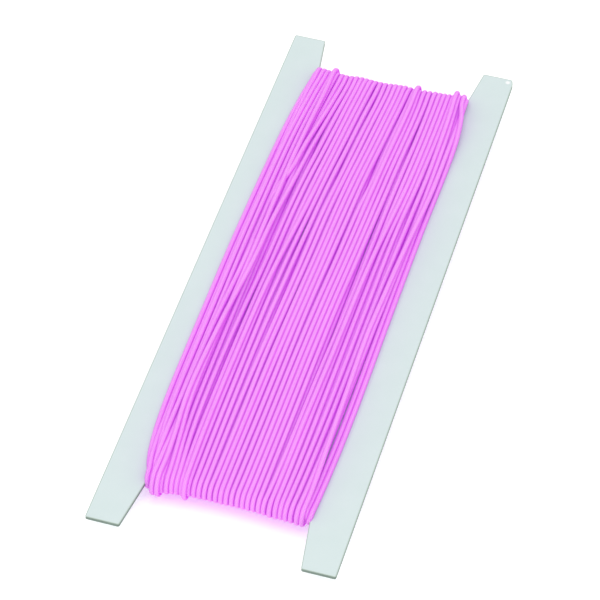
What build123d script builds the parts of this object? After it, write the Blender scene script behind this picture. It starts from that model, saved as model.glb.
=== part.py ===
"""Line winder: a flat board card with a notch in each end, wound lengthwise with round line.

The origin is the middle of the card.  X runs across the card, Y along it towards the far end
and Z up out of its front face.  All sizes are in millimetres.
"""
from build123d import *

import os
from math import pi, radians, tan

os.makedirs("parts", exist_ok=True)

# --- the card ------------------------------------------------------------------------------
card_length = 200.0
card_width = 70.0
core_thickness = 0.9            # grey board
liner_thickness = 0.1           # white paper on each face
corner_radius = 0.4             # a cutting rule leaves its corners almost sharp

# --- the notch in each end, which leaves four horns -----------------------------------------------
horn_width = 9.6                # at the horn's tip
notch_depth = 18.8
notch_taper = 8.0               # degrees, each side leans in towards the floor
floor_corner_radius = 0.6

# --- the line and the pack that it makes round the card's waist ----------------------------------
line_diameter = 1.5
layers = 3                      # on each face; the middle one is a few scattered turns
nesting = 0.866                 # rise of each further layer, in diameters, in the hollows below it
packing = 0.56                  # share of the pack that is line and not gaps, mostly in the middle
left_overhang = 1.5             # how far the top turns stand past a notch floor's end
right_overhang = 0.8
left_spread = 3.7               # how much further out the turns have spread half way along
right_spread = 2.2
far_slack = 1.5                 # the turns stand this much further off the far notch floor
flank_radius = 3.4              # the outermost turns lie lower than the rest

# --- worked out ----------------------------------------------------------------------------------
card_thickness = core_thickness + 2 * liner_thickness
core_top = core_thickness / 2
card_top = card_thickness / 2
floor = card_length / 2 - notch_depth
mouth_half = card_width / 2 - horn_width
floor_half = mouth_half - notch_depth * tan(radians(notch_taper))
pack_left = floor_half + left_overhang
pack_right = floor_half + right_overhang
pack_top = card_top + line_diameter * (1 + nesting * (layers - 1))
# The turns bend round the middle of the card's thickness at each notch floor.
bend = floor - card_top


def cut_ply(name, bottom, thickness):
    """One ply of the card, cut to the shared outline and written out."""
    with BuildPart() as ply:
        with BuildSketch(Plane.XY.offset(bottom)) as outline:
            with BuildLine():
                Polyline(
                    (card_width / 2, -card_length / 2),
                    (card_width / 2, card_length / 2),
                    (mouth_half, card_length / 2),
                    (floor_half, floor),
                    (-floor_half, floor),
                    (-mouth_half, card_length / 2),
                    (-card_width / 2, card_length / 2),
                    (-card_width / 2, -card_length / 2),
                    (-mouth_half, -card_length / 2),
                    (-floor_half, -floor),
                    (floor_half, -floor),
                    (mouth_half, -card_length / 2),
                    close=True,
                )
            make_face()
            rows = outline.vertices().group_by(Axis.Y)
            fillet(rows[1] + rows[2], floor_corner_radius)
            rows = outline.vertices().group_by(Axis.Y)
            fillet(rows[0] + rows[-1], corner_radius)
        extrude(amount=thickness)
    ply.part.label = name
    export_step(ply.part, f"parts/{name}.step")
    return ply.part


# The card: a grey board core with a white paper liner glued over each face.
board_core = cut_ply("board_core", -core_top, core_thickness)
front_liner = cut_ply("front_liner", core_top, liner_thickness)
back_liner = cut_ply("back_liner", -card_top, liner_thickness)

# The wound line's outer shape: a closed sleeve round the card's waist.  In plan its flanks bow
# out between the notches, and from the side it is a long slot whose round ends go over the
# notch floors.
with BuildPart() as line_winding:
    with BuildSketch(Plane.XY.offset(-pack_top)):
        with BuildLine():
            left = ThreePointArc(
                (-pack_left, -floor - pack_top),
                (-pack_left - left_spread, 0),
                (-pack_left, floor + far_slack + pack_top),
            )
            right = ThreePointArc(
                (pack_right, -floor - pack_top),
                (pack_right + right_spread, 0),
                (pack_right, floor + far_slack + pack_top),
            )
            Line(left @ 0, right @ 0)
            Line(left @ 1, right @ 1)
        make_face()
    extrude(amount=2 * pack_top)
    with BuildSketch(Plane.YZ):
        with Locations((far_slack / 2, 0)):
            SlotCenterToCenter(2 * bend + far_slack, 2 * pack_top)
    extrude(amount=card_width / 2, both=True, mode=Mode.INTERSECT)
    by_side = line_winding.faces().sort_by(Axis.X)
    fillet(by_side[0].edges() + by_side[-1].edges(), flank_radius)
    for ply in (board_core, front_liner, back_liner):
        add(ply, mode=Mode.SUBTRACT)
line_winding.part.label = "line_winding"
export_step(line_winding.part, "parts/line_winding.step")

print(f"the card is {card_thickness:.2f} mm thick and the pack {2 * pack_top:.2f} mm")
line_length = packing * line_winding.part.volume / (pi * line_diameter**2 / 4)
print(f"the pack holds {line_length / 1000:.1f} m of line")
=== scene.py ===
"""A flat board line winder wound with fluorescent pink line, lying on its turns."""
from math import cos, pi, radians, sin, tan

import bpy
import numpy as np
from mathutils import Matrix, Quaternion, Vector


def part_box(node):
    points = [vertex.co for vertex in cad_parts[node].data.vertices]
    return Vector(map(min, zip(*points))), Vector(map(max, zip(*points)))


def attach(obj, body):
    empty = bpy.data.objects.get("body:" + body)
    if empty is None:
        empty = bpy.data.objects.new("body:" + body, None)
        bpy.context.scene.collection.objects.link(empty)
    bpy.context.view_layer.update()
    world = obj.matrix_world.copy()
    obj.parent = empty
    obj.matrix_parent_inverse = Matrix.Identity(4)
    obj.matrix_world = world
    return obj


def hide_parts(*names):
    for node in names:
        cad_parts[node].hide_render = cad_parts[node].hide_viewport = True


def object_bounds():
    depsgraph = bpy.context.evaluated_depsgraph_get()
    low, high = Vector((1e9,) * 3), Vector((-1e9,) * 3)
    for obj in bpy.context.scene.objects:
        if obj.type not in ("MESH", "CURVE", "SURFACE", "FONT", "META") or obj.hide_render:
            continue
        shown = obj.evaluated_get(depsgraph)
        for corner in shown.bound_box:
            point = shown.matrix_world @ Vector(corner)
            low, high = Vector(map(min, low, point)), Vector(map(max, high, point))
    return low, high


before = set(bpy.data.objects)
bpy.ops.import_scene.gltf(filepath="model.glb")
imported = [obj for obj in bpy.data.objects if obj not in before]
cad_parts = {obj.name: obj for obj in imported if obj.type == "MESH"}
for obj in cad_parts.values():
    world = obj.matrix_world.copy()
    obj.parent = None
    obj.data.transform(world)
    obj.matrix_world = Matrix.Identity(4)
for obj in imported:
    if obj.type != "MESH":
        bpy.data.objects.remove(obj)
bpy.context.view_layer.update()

# --- Camera -----------------------------------------------------------------------------------
# It stands off the near end, a little to the right, and looks down on the card through a long
# lens, so that the card's long sides draw together only slightly.
card_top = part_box("front_liner")[1][2]

azimuth, elevation, roll = radians(15.42), radians(47.33), radians(1.28)
distance = 0.8672
aim = Vector((-0.00208, -0.00731, card_top))
towards_camera = Vector(
    (sin(azimuth) * cos(elevation), -cos(azimuth) * cos(elevation), sin(elevation))
)
camera = bpy.data.objects.new("camera", bpy.data.cameras.new("camera"))
camera.data.sensor_width = 36
camera.data.lens = 181.87
camera.data.clip_start = 0.05
camera.data.clip_end = 20
camera.location = aim + towards_camera * distance
camera.rotation_mode = "QUATERNION"
camera.rotation_quaternion = towards_camera.to_track_quat("Z", "Y") @ Quaternion((0, 0, 1), roll)
bpy.context.collection.objects.link(camera)
bpy.context.scene.camera = camera

# --- The line ---------------------------------------------------------------------------------
# One length of round braided polyester, dyed fluorescent pink.  It is wound by hand round the
# card's waist in three passes: a close one, a scattered one, and a close one over both.  The
# first end is trapped under the later turns, and the last end lies against the back.
mm = 0.001
line_diameter = 1.5
pressed = 1.45                      # how near two turns' middles come: the braid gives a little
half_card = card_top / mm
floor = 81.2                        # the notch floors, either way from the card's middle
floor_half = 22.76                  # half a notch floor's length
notch_slope = tan(radians(8))       # each side of a notch leans out towards its mouth
bend = floor - half_card            # the turns bend round the middle of the card's edge
slack = 2.3                         # how far the turns stand off the far notch floor
notch_left = -22.6                  # on the bends, the turns' middles keep between these
far_right = 22.6
near_right = 22.0
near_shift = 0.5                    # at the near end the turns lie this much further left
spread = 0.05                       # share by which they spread half way along
parting_push = 0.65
layer_rise = 1.35                   # from one pass up to the next, before the turns settle
# Where turns cross under the others at a notch floor, the ones on top stand out: how far, by
# place across the card.
far_places = [-24, -22, -19.5, -17.5, -14.5, -9.5, -4.5, 4.5, 8, 13.5, 17, 22, 24]
far_lumps = [0.4, 0.5, 0.1, 0.2, -0.3, 0.3, -0.2, 0.5, 0.0, 0.6, 0.5, 1.4, 1.8]
near_places = [-24, -21, -18.5, -16, -10, 5, 9.5, 12, 15, 18.5, 21, 24]
near_lumps = [0.4, 0.7, 1.3, 0.5, 0.2, 0.2, 0.4, 0.9, 0.6, 1.1, 1.1, 1.3]

# Where the turns cross the two ends of the front.  The scattered pass sinks between the turns of
# the first.  In the top pass, two turns have slid over the ones to their left.
first_pass = np.linspace(-22.4, 22.2, 30)
middle_far = np.array([21.6, 15.2, 9.4, 1.5, -8.6, -17.6])
middle_near = np.array([20.6, 13.6, 6.4, -2.5, -11.0, -18.6])
top_far = np.concatenate([[-25.0, -23.9, -22.7], np.linspace(-21.2, 24.6, 27)])
top_near = np.concatenate(
    [[-25.2], np.linspace(-24.2, -17.2, 6), [-20.6, -19.0], np.linspace(-15.2, 22.4, 21)]
)

# Where the top turns part and leave the ones below bare: across, along, and half the length.
partings = [
    (-2.6, 81, 7), (-10.2, 40, 14), (4.8, 34, 20), (20.6, 48, 26), (-22.6, 4, 14), (-10.2, -9, 12),
    (9.3, -19, 13), (4.8, -36, 10), (-2.2, -36, 10), (21.4, -17, 10), (-19.8, -56, 16),
]

# A turn's stations: up the front, round the far notch floor, down the back, round the near one.
face_stations = 18
bend_stations = 7
face_step = 2 * bend / face_stations
up_face = -bend + face_step * (np.arange(face_stations) + 0.5)
half_turn = np.linspace(0, pi, bend_stations)
station_y = np.concatenate(
    [up_face, np.full(bend_stations, bend), up_face[::-1], np.full(bend_stations, -bend)]
)
station_angle = np.concatenate(
    [np.zeros(face_stations), half_turn, np.full(face_stations, pi), pi + half_turn]
)
on_bend = np.repeat([False, True, False, True], [face_stations, bend_stations] * 2)
front_part = slice(0, face_stations)
far_part = slice(face_stations, face_stations + bend_stations)
back_part = slice(face_stations + bend_stations, 2 * face_stations + bend_stations)
near_part = slice(2 * face_stations + bend_stations, None)


def guide_turns(chance):
    """Where each turn would lie across the card if no other turn pushed it aside."""
    far = np.concatenate([first_pass, middle_far, top_far])
    near = np.concatenate([first_pass, middle_near, top_near])
    far = far + chance.normal(0, 0.08, len(far))
    near = near + chance.normal(0, 0.08, len(near)) - near_shift
    next_near = np.append(near[1:], near[-1] - 3.0)
    up = (station_y / bend + 1) / 2
    guide = np.zeros((len(far), len(station_y)))
    # On the front, a turn makes most of its way across soon after the far end.
    guide[:, front_part] = near[:, None] + (far - near)[:, None] * up[front_part] ** 3
    guide[:, far_part] = np.clip(far, notch_left, far_right)[:, None]
    guide[:, back_part] = next_near[:, None] + (far - next_near)[:, None] * up[back_part]
    guide[:, near_part] = np.clip(next_near, notch_left, near_right)[:, None]
    # Half way along, nothing holds the turns, so they spread.
    along = station_y / bend
    half_way = 1 - np.abs(along) ** 5
    guide *= 1 + spread * half_way
    guide += chance.normal(0, 0.15, len(far))[:, None] * half_way
    for parting_x, parting_y, reach in partings:
        beside = guide[-len(top_far):, front_part] - parting_x
        nearby = np.exp(-(((station_y[front_part] - parting_y) / reach) ** 2) - np.abs(beside) / 3)
        guide[-len(top_far):, front_part] += parting_push * np.sign(beside) * nearby
    # The line keeps a slow waviness from its own reel.
    waver = chance.normal(0, 1, guide.shape)
    blur = np.array([1, 2, 3, 2, 1]) / 9
    waver = np.apply_along_axis(lambda row: np.convolve(row, blur, "same"), 1, waver)
    return guide + 0.25 * waver * ~on_bend


def to_space(across, height):
    """Turns places across the card and heights over its surface into points, in millimetres."""
    reach = half_card + height
    y = station_y + np.where(on_bend, reach * np.sin(station_angle), 0)
    z = reach * np.where(on_bend, np.cos(station_angle), np.where(station_angle < 1, 1, -1))
    return np.stack([across, np.broadcast_to(y, across.shape), z], axis=-1)


def settle(guide, steps=260):
    """Pulls every turn down onto the card and pushes turns that overlap apart, as far as it can."""
    turns = len(guide)
    layers = np.repeat([0, 1, 1.6], [len(first_pass), len(middle_far), len(top_far)])
    across = guide.copy()
    height = np.zeros_like(guide) + pressed / 2 + layer_rise * layers[:, None]
    height += 0.002 * np.arange(turns)[:, None]
    # The later of two turns gives way, because the earlier one is already held.
    order = np.arange(turns)
    share = np.where(order[:, None] < order[None], 0.06, 0.94)[..., None]
    # Past the notch floors the turns stand off, most where they are level with the card.
    stand_off = np.abs(np.sin(station_angle))
    far_end = on_bend & (station_y > 0)
    flat_part = np.abs(np.cos(station_angle))
    for _ in range(steps):
        points = to_space(across, height).reshape(-1, 3)
        runs = np.linalg.norm(np.diff(points, axis=0), axis=1) + 0.05
        for value in (across, height):
            line = value.reshape(-1)
            before, after = 1 / runs[:-1], 1 / runs[1:]
            straight = (line[:-2] * before + line[2:] * after) / (before + after)
            line[1:-1] += 0.3 * (straight - line[1:-1])
        across += 0.12 * (guide - across)
        height -= np.where(on_bend, 0.12, 0.08)
        # Round the notch floors the pull of the line evens out neighbours of the same layer.
        apart = across[:, None] - across[None]
        above = height[:, None] - height[None]
        alike = np.exp(-((apart / 1.8) ** 2) - (above / 0.8) ** 2) * on_bend
        evened = (alike * height[None]).sum(axis=1) / (alike.sum(axis=1) + 1e-6)
        height = np.where(on_bend, height + 0.5 * (evened - height), height)
        for _ in range(3):
            apart = across[:, None] - across[None]
            above = height[:, None] - height[None]
            gap = np.hypot(apart, above) + 1e-6
            push = 0.7 * share * np.clip(pressed - gap, 0, None) / gap
            across += (apart * push).sum(axis=1)
            height += (above * push).sum(axis=1)
            far_lump = slack + np.interp(across, far_places, far_lumps)
            near_lump = np.interp(across, near_places, near_lumps)
            lump = stand_off * np.where(far_end, far_lump, near_lump)
            height = np.maximum(height, pressed / 2 + lump)
            # Level with the card, the horns keep the turns inside the notch.
            horn = floor_half + (half_card + height) * notch_slope * np.abs(np.sin(station_angle))
            between = on_bend & (flat_part * (half_card + height) < half_card + 0.5)
            kept = np.clip(across, pressed / 2 - horn, horn - pressed / 2)
            across = np.where(between, kept, across)
    return across, height


across, height = settle(guide_turns(np.random.default_rng(7)))
# A smooth curve cuts inside its points, so round the bends they stand out by that much.
inner_bend = on_bend & (np.abs(np.sin(station_angle)) > 0.1)
reach_out = 1 / cos(pi / (bend_stations - 1) / 2) ** 2
height = np.where(inner_bend, (half_card + height) * reach_out - half_card, height)
last_point = -(face_stations // 2 + bend_stations)
route = to_space(across, height).reshape(-1, 3)[:last_point] * mm


def follow(points, detail):
    """The places along the smooth line that the route's points steer."""
    curve = bpy.data.curves.new("line_route", "CURVE")
    curve.dimensions = "3D"
    curve.resolution_u = detail
    spline = curve.splines.new("NURBS")
    spline.points.add(len(points) - 1)
    spline.points.foreach_set("co", np.column_stack([points, np.ones(len(points))]).ravel())
    spline.order_u = 3
    spline.use_endpoint_u = True
    spline.resolution_u = detail
    holder = bpy.data.objects.new("line_route", curve)
    bpy.context.collection.objects.link(holder)
    traced = bpy.data.meshes.new_from_object(holder)
    places = np.empty(3 * len(traced.vertices))
    traced.vertices.foreach_get("co", places)
    bpy.data.objects.remove(holder)
    bpy.data.meshes.remove(traced)
    return places.reshape(-1, 3)


def braid_tube(places, radius, sides):
    """A closed tube along the line, with the way along and round it as its UV map."""
    tangent = np.gradient(places, axis=0)
    tangent /= np.linalg.norm(tangent, axis=1)[:, None]
    outward = places.copy()
    outward[:, 0] = 0
    outward[:, 1] -= np.clip(places[:, 1], -bend * mm, bend * mm)
    sideways = np.cross(tangent, outward)
    sideways /= np.linalg.norm(sideways, axis=1)[:, None]
    outward = np.cross(sideways, tangent)
    angle = 2 * pi * np.arange(sides) / sides
    spokes = np.cos(angle)[None, :, None] * sideways[:, None]
    spokes = spokes + np.sin(angle)[None, :, None] * outward[:, None]
    rings = places[:, None] + radius * spokes
    # Each end is cut square and its rim is a little frayed in.
    start = places[0] - 0.15 * radius * tangent[0] + 0.6 * radius * spokes[0]
    end = places[-1] + 0.15 * radius * tangent[-1] + 0.6 * radius * spokes[-1]
    rings = np.concatenate([start[None], rings, end[None]])
    ring = np.arange(len(rings) - 1)[:, None] * sides
    side = np.arange(sides)[None]
    beside = (side + 1) % sides
    quads = np.stack([ring + side, ring + sides + side, ring + sides + beside, ring + beside], axis=-1)
    quads = quads.reshape(-1, 4)
    caps = [list(range(sides)), list(range((len(rings) - 1) * sides, len(rings) * sides))[::-1]]
    mesh = bpy.data.meshes.new("pink_line")
    mesh.from_pydata(rings.reshape(-1, 3).tolist(), [], quads.tolist() + caps)
    # One unit of the map is one girth of the line, both along it and round it.
    girth = 2 * pi * radius
    along = np.concatenate([[0], np.cumsum(np.linalg.norm(np.diff(places, axis=0), axis=1))]) / girth
    along = np.concatenate([[along[0]], along, [along[-1]]])
    here = np.repeat(along[:-1], sides)
    there = np.repeat(along[1:], sides)
    low = np.tile(np.arange(sides) / sides, len(rings) - 1)
    high = low + 1 / sides
    corners = np.stack([here, low, there, low, there, high, here, high], axis=-1).ravel()
    cap_corners = np.zeros(4 * sides)
    uv = mesh.uv_layers.new(name="line_map")
    uv.data.foreach_set("uv", np.concatenate([corners, cap_corners]))
    mesh.polygons.foreach_set("use_smooth", np.ones(len(mesh.polygons), bool))
    mesh.update()
    return mesh


line_places = follow(route, 2)
pink_line = bpy.data.objects.new("pink_line", braid_tube(line_places, line_diameter / 2 * mm, 12))
bpy.context.collection.objects.link(pink_line)


def add_node(tree, kind, values=None, links=None):
    """Adds a node, sets its settings and sockets from values, and joins its sockets to links."""
    node = tree.nodes.new(kind)
    for name, value in (values or {}).items():
        if isinstance(name, int) or name in node.inputs:
            node.inputs[name].default_value = value
        else:
            setattr(node, name, value)
    for name, source in (links or {}).items():
        tree.links.new(source, node.inputs[name])
    return node


def colour(sheet_hex):
    """An sRGB hex colour as the linear values that shaders use."""
    parts = [int(sheet_hex[i:i + 2], 16) / 255 for i in (1, 3, 5)]
    return [c / 12.92 if c <= 0.04045 else ((c + 0.055) / 1.055) ** 2.4 for c in parts] + [1.0]


def fluorescent_braid():
    """Braided polyester in fluorescent pink: matt, soft at the edge, with a painted glow that keeps it
    bright in shade.
    """
    material = bpy.data.materials.new("fluorescent_pink_braid")
    material.use_nodes = True
    tree = material.node_tree
    shader = tree.nodes["Principled BSDF"]
    place = add_node(tree, "ShaderNodeUVMap", {"uv_map": "line_map"})
    parts = add_node(tree, "ShaderNodeSeparateXYZ", links={0: place.outputs[0]})
    # Six yarns run each way round, at about 40 degrees to the line.
    yarns = 6
    steepness = 0.84
    along = add_node(
        tree, "ShaderNodeMath", {"operation": "MULTIPLY", 1: yarns * steepness}, {0: parts.outputs[0]}
    )
    around = add_node(tree, "ShaderNodeMath", {"operation": "MULTIPLY", 1: yarns}, {0: parts.outputs[1]})
    both = {0: around.outputs[0], 1: along.outputs[0]}
    right_hand = add_node(tree, "ShaderNodeMath", {"operation": "ADD"}, both)
    left_hand = add_node(tree, "ShaderNodeMath", {"operation": "SUBTRACT"}, both)
    hands = {0: right_hand.outputs[0], 1: left_hand.outputs[0]}
    crossing = add_node(tree, "ShaderNodeCombineXYZ", {2: 0.5}, hands)
    over = add_node(tree, "ShaderNodeTexChecker", {"Scale": 1.0}, {"Vector": crossing.outputs[0]})
    crowns = []
    for hand in (right_hand, left_hand):
        saw = add_node(tree, "ShaderNodeMath", {"operation": "PINGPONG", 1: 0.5}, {0: hand.outputs[0]})
        crown = add_node(tree, "ShaderNodeMath", {"operation": "MULTIPLY", 1: 2.0}, {0: saw.outputs[0]})
        crowns.append(crown)
    yarn = add_node(
        tree,
        "ShaderNodeMix",
        {"data_type": "FLOAT"},
        {0: over.outputs["Fac"], 2: crowns[0].outputs[0], 3: crowns[1].outputs[0]},
    )
    # Loose fibres, about a tenth of a millimetre across, blur the braid.
    fibre_scale = add_node(
        tree, "ShaderNodeMapping", {"Scale": (30, 50, 1)}, {"Vector": place.outputs[0]}
    )
    fibres = add_node(
        tree, "ShaderNodeTexNoise", {"Scale": 1.0, "Detail": 2.0}, {"Vector": fibre_scale.outputs[0]}
    )
    body = add_node(
        tree,
        "ShaderNodeMix",
        {"data_type": "FLOAT", 0: 0.35},
        {2: yarn.outputs[0], 3: fibres.outputs[0]},
    )
    bump = add_node(
        tree, "ShaderNodeBump", {"Strength": 0.8, "Distance": 0.0002}, {"Height": body.outputs[0]}
    )
    # Painted light: the side of the line that faces out of the winding is painted paler, and its flanks
    # and underside a deeper magenta, as the shade between the turns.
    turned = add_node(tree, "ShaderNodeMath", {"operation": "MULTIPLY", 1: 2 * pi}, {0: parts.outputs[1]})
    facing = add_node(tree, "ShaderNodeMath", {"operation": "SINE"}, {0: turned.outputs[0]})
    painted_side_light = add_node(
        tree,
        "ShaderNodeMapRange",
        {"From Min": 0.1, "From Max": 1.0, "To Min": -0.35, "To Max": 0.37},
        {"Value": facing.outputs[0]},
    )
    # The braid pattern is added in, so its yarn crevices are painted darker as well.
    braid_and_painted_side_light = add_node(
        tree,
        "ShaderNodeMath",
        {"operation": "MULTIPLY_ADD", 1: 1.0},
        {0: body.outputs[0], 2: painted_side_light.outputs[0]},
    )
    # The dye is also a touch uneven along the line, over a few centimetres.
    dye_scale = add_node(
        tree, "ShaderNodeMapping", {"Scale": (0.12, 0, 1)}, {"Vector": place.outputs[0]}
    )
    dye = add_node(
        tree, "ShaderNodeTexNoise", {"Scale": 1.0, "Detail": 1.0}, {"Vector": dye_scale.outputs[0]}
    )
    shade = add_node(
        tree,
        "ShaderNodeMix",
        {"data_type": "RGBA", 6: colour("#F2A4F0"), 7: colour("#F8B2F6")},
        {0: dye.outputs[0]},
    )
    # Painted shade: where this is low, the colour goes over to deep magenta.
    colour_with_painted_shade = add_node(
        tree,
        "ShaderNodeMix",
        {"data_type": "RGBA", 6: colour("#E62CF0")},
        {0: braid_and_painted_side_light.outputs[0], 7: shade.outputs[2]},
    )
    tree.links.new(colour_with_painted_shade.outputs[2], shader.inputs["Base Color"])
    tree.links.new(bump.outputs[0], shader.inputs["Normal"])
    shader.inputs["Roughness"].default_value = 0.8
    shader.inputs["IOR"].default_value = 1.45
    shader.inputs["Sheen Weight"].default_value = 0.2
    shader.inputs["Sheen Roughness"].default_value = 0.5
    shader.inputs["Sheen Tint"].default_value = colour("#FFB4FF")
    # Painted glow: the line gives off a little magenta light of its own, standing in for its fluorescence
    # and lifting it where it is in shade.
    shader.inputs["Emission Color"].default_value = colour("#C428F0")
    shader.inputs["Emission Strength"].default_value = 0.13
    return material


pink_line.data.materials.append(fluorescent_braid())
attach(pink_line, "root")
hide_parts("line_winding")

# --- The card's core --------------------------------------------------------------------------
# Recycled grey board, about 0.9 mm, die-cut with its two liners already glued on.  Only its edge
# shows: a fibrous grey band that the cutting rule has torn as much as cut.
core_half = half_card - 0.1
card_half_width, card_half_length = 35.0, 100.0
horn_width = 9.6
mouth_half = card_half_width - horn_width
corner_size = 0.55


def card_outline():
    """The cut outline, anticlockwise from the near right corner, and which way is out of it."""
    right_side = [(card_half_width, -card_half_length), (card_half_width, 97.9), (34.4, card_half_length)]
    far_notch = [(mouth_half, card_half_length), (floor_half, floor), (-floor_half, floor)]
    left_side = [(-mouth_half, card_half_length), (-card_half_width, card_half_length)]
    left_side += [(-card_half_width, -card_half_length), (-mouth_half, -card_half_length)]
    near_notch = [(-floor_half, -floor), (floor_half, -floor), (mouth_half, -card_half_length)]
    corners = np.array(right_side + far_notch + left_side + near_notch)
    ways = np.roll(corners, -1, axis=0) - corners
    lengths = np.linalg.norm(ways, axis=1)
    ways /= lengths[:, None]
    points = []
    for corner, before, way, length in zip(corners, np.roll(ways, 1, axis=0), ways, lengths):
        # Each corner is rounded a little, and the edge after it is divided every millimetre or so.
        for part in (0, 0.25, 0.5, 0.75):
            inward = corner_size * before * (1 - part) ** 2
            points.append(corner - inward + corner_size * way * part**2)
        for run in np.linspace(corner_size, length - corner_size, max(2, round(length / 1.2)))[:-1]:
            points.append(corner + way * run)
    points = np.array(points)
    along = np.roll(points, -1, axis=0) - np.roll(points, 1, axis=0)
    along /= np.linalg.norm(along, axis=1)[:, None]
    return points, np.column_stack([along[:, 1], -along[:, 0]])


def ply_mesh(name, levels):
    """A closed ply of the card, from the outline set in by so much at each height, from below."""
    points, outward = card_outline()
    count = len(points)
    rings = [
        np.column_stack([points - outward * np.reshape(inset, (-1, 1)), np.full(count, z)])
        for z, inset in levels
    ]
    start = np.arange(count)
    after = (start + 1) % count
    quads = [
        np.column_stack([start, after, after + count, start + count]) + count * level
        for level in range(len(levels) - 1)
    ]
    caps = [start[::-1].tolist(), (start + count * (len(levels) - 1)).tolist()]
    mesh = bpy.data.meshes.new(name)
    mesh.from_pydata((np.concatenate(rings) * mm).tolist(), [], np.concatenate(quads).tolist() + caps)
    # The map says how far in from the cut edge a place is: 0 at the edge and 1 on the flat.
    inset_of = np.concatenate([np.broadcast_to(inset, count) for _, inset in levels])
    inset_of = inset_of / max(inset_of.max(), 0.001)
    corner_points = np.empty(len(mesh.loops), int)
    mesh.loops.foreach_get("vertex_index", corner_points)
    uv = mesh.uv_layers.new(name="edge_map")
    inward = inset_of[corner_points]
    uv.data.foreach_set("uv", np.column_stack([inward, inward]).ravel())
    return mesh


def grey_board():
    """Recycled grey board: plies of mixed fibre, flecked darker and lighter along the cut."""
    material = bpy.data.materials.new("recycled_grey_board")
    material.use_nodes = True
    tree = material.node_tree
    shader = tree.nodes["Principled BSDF"]
    place = add_node(tree, "ShaderNodeTexCoord")
    # Flecks a few millimetres long and a tenth of a millimetre thick, laid flat in the board.
    flat = add_node(
        tree, "ShaderNodeMapping", {"Scale": (450, 450, 6000)}, {"Vector": place.outputs["Object"]}
    )
    flecks = add_node(
        tree, "ShaderNodeTexNoise", {"Scale": 1.0, "Detail": 3.0}, {"Vector": flat.outputs[0]}
    )
    shade = add_node(
        tree,
        "ShaderNodeMix",
        {"data_type": "RGBA", 6: colour("#5C6C64"), 7: colour("#98A99F")},
        {0: flecks.outputs[0]},
    )
    bump = add_node(
        tree, "ShaderNodeBump", {"Strength": 0.6, "Distance": 0.00006}, {"Height": flecks.outputs[0]}
    )
    tree.links.new(shade.outputs[2], shader.inputs["Base Color"])
    tree.links.new(bump.outputs[0], shader.inputs["Normal"])
    shader.inputs["Roughness"].default_value = 0.95
    shader.inputs["Specular IOR Level"].default_value = 0.3
    return material


outline_count = len(card_outline()[0])
tear = np.random.default_rng(3).normal(0, 1, (3, outline_count))
tear = np.apply_along_axis(lambda row: np.convolve(np.tile(row, 3), np.ones(3) / 3, "same"), 1, tear)
tear = 0.03 + 0.03 * tear[:, outline_count:2 * outline_count]
core_levels = [
    (-core_half, 0.0), (-0.3, tear[0]), (-0.05, tear[1]), (0.22, tear[2]), (core_half, 0.0)
]
grey_core = bpy.data.objects.new("grey_core", ply_mesh("grey_core", core_levels))
bpy.context.collection.objects.link(grey_core)
grey_core.data.materials.append(grey_board())
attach(grey_core, "root")
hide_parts("board_core")

# --- The front liner --------------------------------------------------------------------------
# Thin white paper, cool in tone, glued over the core's front before cutting.  The rule has
# pressed its edge down, so a narrow rolled band runs round it.


def white_paper():
    """Uncoated white paper: matt, with a faint cloudiness and a fine tooth."""
    material = bpy.data.materials.new("uncoated_white_paper")
    material.use_nodes = True
    tree = material.node_tree
    shader = tree.nodes["Principled BSDF"]
    place = add_node(tree, "ShaderNodeTexCoord")
    clouds = add_node(
        tree, "ShaderNodeTexNoise", {"Scale": 140.0, "Detail": 3.0}, {"Vector": place.outputs["Object"]}
    )
    shade = add_node(
        tree,
        "ShaderNodeMix",
        {"data_type": "RGBA", 6: colour("#D0DFDE"), 7: colour("#D6E3E3")},
        {0: clouds.outputs[0]},
    )
    tooth = add_node(
        tree, "ShaderNodeTexNoise", {"Scale": 5000.0, "Detail": 2.0}, {"Vector": place.outputs["Object"]}
    )
    bump = add_node(
        tree, "ShaderNodeBump", {"Strength": 0.15, "Distance": 0.00002}, {"Height": tooth.outputs[0]}
    )
    # Painted shade: the rolled band and the cut edge are painted a greenish grey, and the knocked far
    # corner carries a small painted highlight.
    edge_place = add_node(tree, "ShaderNodeUVMap", {"uv_map": "edge_map"})
    edge = add_node(tree, "ShaderNodeSeparateXYZ", links={0: edge_place.outputs[0]})
    # Painted shade on the rolled band: full near the cut, none on the flat.
    painted_edge_shade_mask = add_node(
        tree,
        "ShaderNodeMapRange",
        {"From Min": 0.2, "From Max": 0.95, "To Min": 0.0, "To Max": 1.0},
        {"Value": edge.outputs[0]},
    )
    painted_edge_shade = add_node(
        tree,
        "ShaderNodeMix",
        {"data_type": "RGBA", 6: colour("#AFC0B4")},
        {0: painted_edge_shade_mask.outputs[0], 7: shade.outputs[2]},
    )
    # Painted highlight: a small white spot where the lifted tip of the far right corner catches the
    # light.
    from_corner = add_node(
        tree,
        "ShaderNodeVectorMath",
        {"operation": "DISTANCE", 1: (0.0333, 0.0985, half_card * mm)},
        {0: place.outputs["Object"]},
    )
    painted_corner_highlight_mask = add_node(
        tree,
        "ShaderNodeMapRange",
        {"From Min": 0.0009, "From Max": 0.0004, "To Min": 0.0, "To Max": 1.0},
        {"Value": from_corner.outputs["Value"]},
    )
    painted_corner_highlight = add_node(
        tree,
        "ShaderNodeMix",
        {"data_type": "RGBA", 7: colour("#F6F8F8")},
        {0: painted_corner_highlight_mask.outputs[0], 6: painted_edge_shade.outputs[2]},
    )
    tree.links.new(painted_corner_highlight.outputs[2], shader.inputs["Base Color"])
    tree.links.new(bump.outputs[0], shader.inputs["Normal"])
    shader.inputs["Roughness"].default_value = 0.75
    return material


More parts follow.
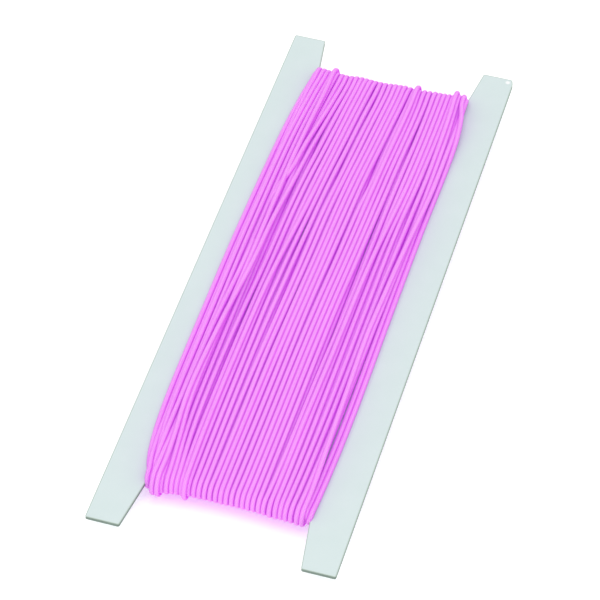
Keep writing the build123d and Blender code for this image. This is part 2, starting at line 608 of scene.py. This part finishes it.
rolled = 0.36
front_levels = [
    (core_half, 0.0),
    (half_card - 0.06, 0.0),
    (half_card - 0.03, 0.3 * rolled),
    (half_card, rolled),
]
front_paper = bpy.data.objects.new("front_paper", ply_mesh("front_paper", front_levels))
bpy.context.collection.objects.link(front_paper)
front_paper.data.materials.append(white_paper())
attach(front_paper, "root")
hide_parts("front_liner")

# --- The back liner ---------------------------------------------------------------------------
# The same paper on the core's back, where the rule came out: its edge stays almost square.
back_levels = [(-half_card, 0.06), (-half_card + 0.02, 0.0), (-core_half, 0.0)]
back_paper = bpy.data.objects.new("back_paper", ply_mesh("back_paper", back_levels))
bpy.context.collection.objects.link(back_paper)
back_paper.data.materials.append(bpy.data.materials["uncoated_white_paper"])
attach(back_paper, "root")
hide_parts("back_liner")

# --- Floor and light --------------------------------------------------------------------------
# A white sheet on a table, and soft light from a broad panel overhead and from all round.  The
# sheet gives off a little light itself, which keeps it white beside the part.
low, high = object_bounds()
floor_mesh = bpy.data.meshes.new("floor")
side = 3.0
floor_mesh.from_pydata(
    [(-side, -side, low[2]), (side, -side, low[2]), (side, side, low[2]), (-side, side, low[2])],
    [],
    [(0, 1, 2, 3)],
)
white_floor = bpy.data.objects.new("white_floor", floor_mesh)
bpy.context.collection.objects.link(white_floor)
sheet = bpy.data.materials.new("white_card_floor")
sheet.use_nodes = True
sheet_shader = sheet.node_tree.nodes["Principled BSDF"]
sheet_shader.inputs["Base Color"].default_value = colour("#FAFAFA")
sheet_shader.inputs["Roughness"].default_value = 0.9
sheet_shader.inputs["Emission Color"].default_value = (1, 1, 1, 1)
sheet_shader.inputs["Emission Strength"].default_value = 0.25
floor_mesh.materials.append(sheet)

world = bpy.data.worlds.new("soft_room")
bpy.context.scene.world = world
world.use_nodes = True
world.node_tree.nodes["Background"].inputs[0].default_value = (1, 1, 1, 1)
world.node_tree.nodes["Background"].inputs[1].default_value = 0.9

panel = bpy.data.objects.new("panel", bpy.data.lights.new("panel", "AREA"))
panel.data.shape = "DISK"
panel.data.size = 0.7
panel.data.energy = 2.0
panel.location = (0.06, -0.2, 0.95)
panel.rotation_mode = "QUATERNION"
panel.rotation_quaternion = panel.location.to_track_quat("Z", "Y")
bpy.context.collection.objects.link(panel)
bpy.context.scene.view_settings.view_transform = "Standard"
